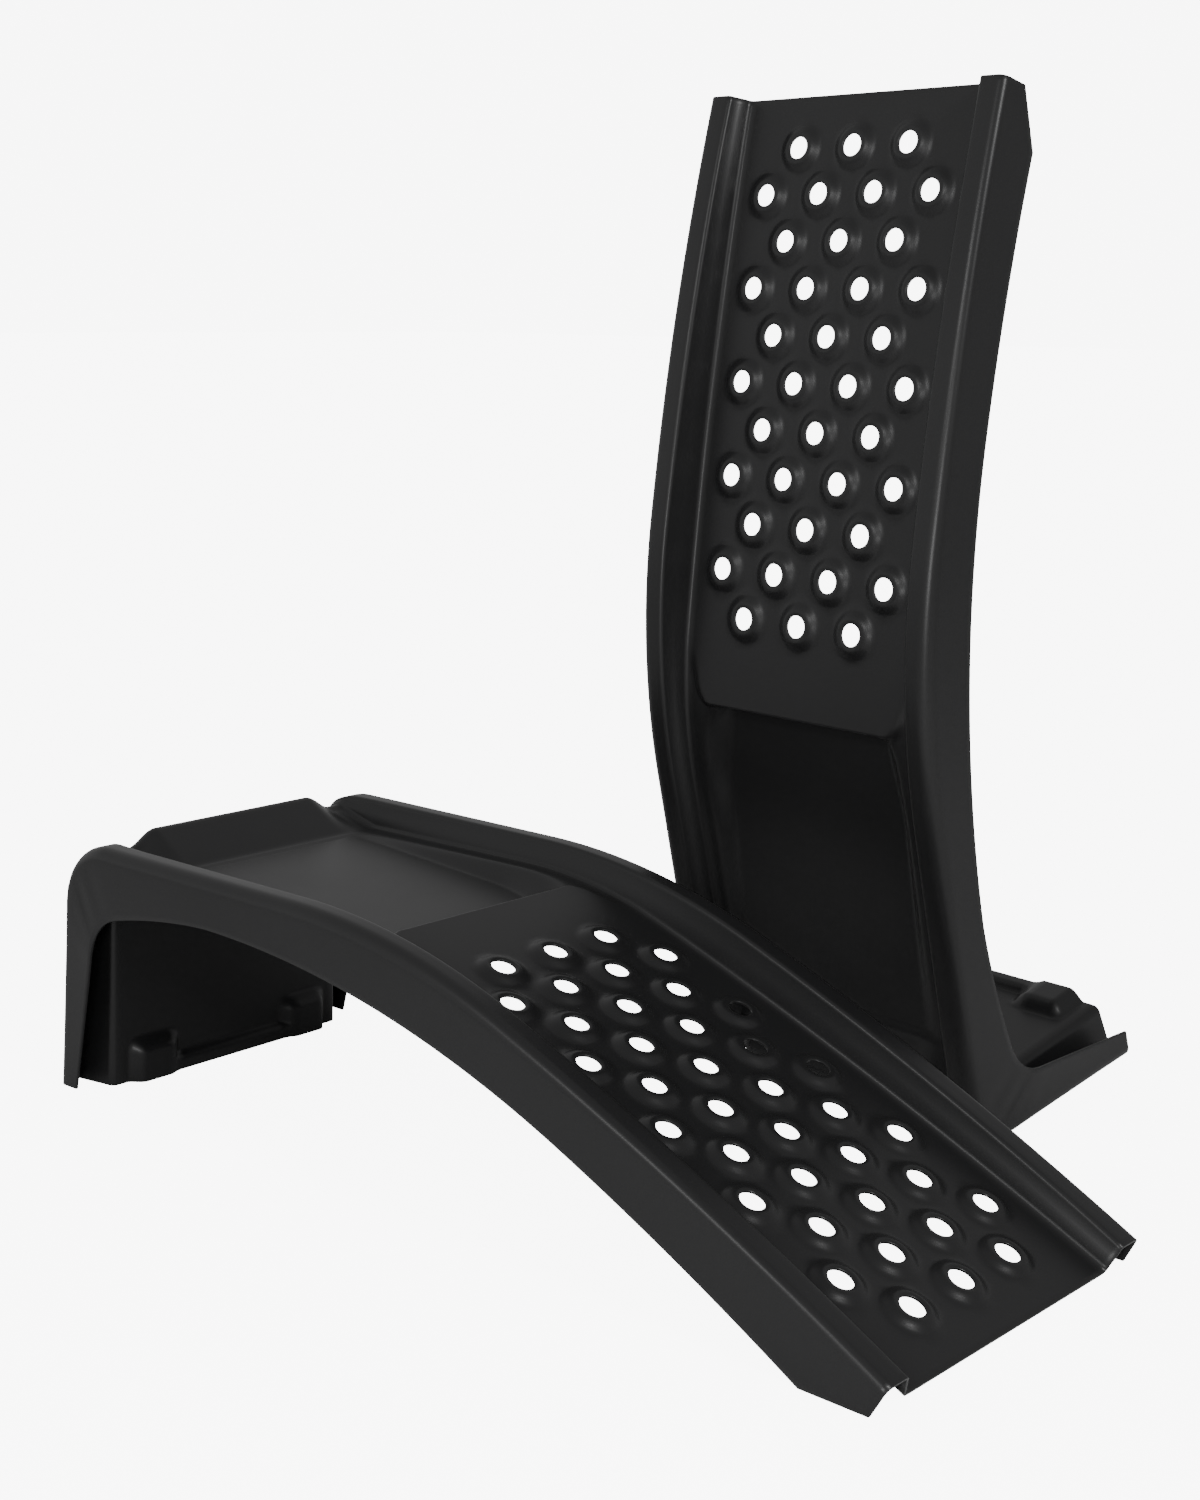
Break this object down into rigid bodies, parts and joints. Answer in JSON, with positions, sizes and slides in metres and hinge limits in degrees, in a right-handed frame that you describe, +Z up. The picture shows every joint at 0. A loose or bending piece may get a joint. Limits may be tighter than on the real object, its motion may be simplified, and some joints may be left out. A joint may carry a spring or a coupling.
{
  "type": "vehicle wheel ramp pair",
  "caption": "Matched pair of pressed sheet-steel wheel ramps with raised-edge grip holes, side rails, a sunken cradle and a wheel stop; one lying, one standing on its high end.",
  "frame": {"origin": "on the floor, below the middle of the box round both ramps", "axes": "+X from the lying ramp's high end towards its toe, +Y across the lying ramp towards the standing one, +Z up"},
  "size_m": [0.8004, 0.631, 0.7992],
  "materials": {
    "black_coat": "satin powder coat"
  },
  "bodies": {
    "root": {"lying_deck": "black_coat", "lying_cradle": "black_coat", "lying_wheel_stop": "black_coat", "lying_end_wall": "black_coat", "lying_near_rail": "black_coat", "lying_far_rail": "black_coat", "standing_deck": "black_coat", "standing_cradle": "black_coat", "standing_wheel_stop": "black_coat", "standing_end_wall": "black_coat", "standing_near_rail": "black_coat", "standing_far_rail": "black_coat"}
  },
  "joints": []
}
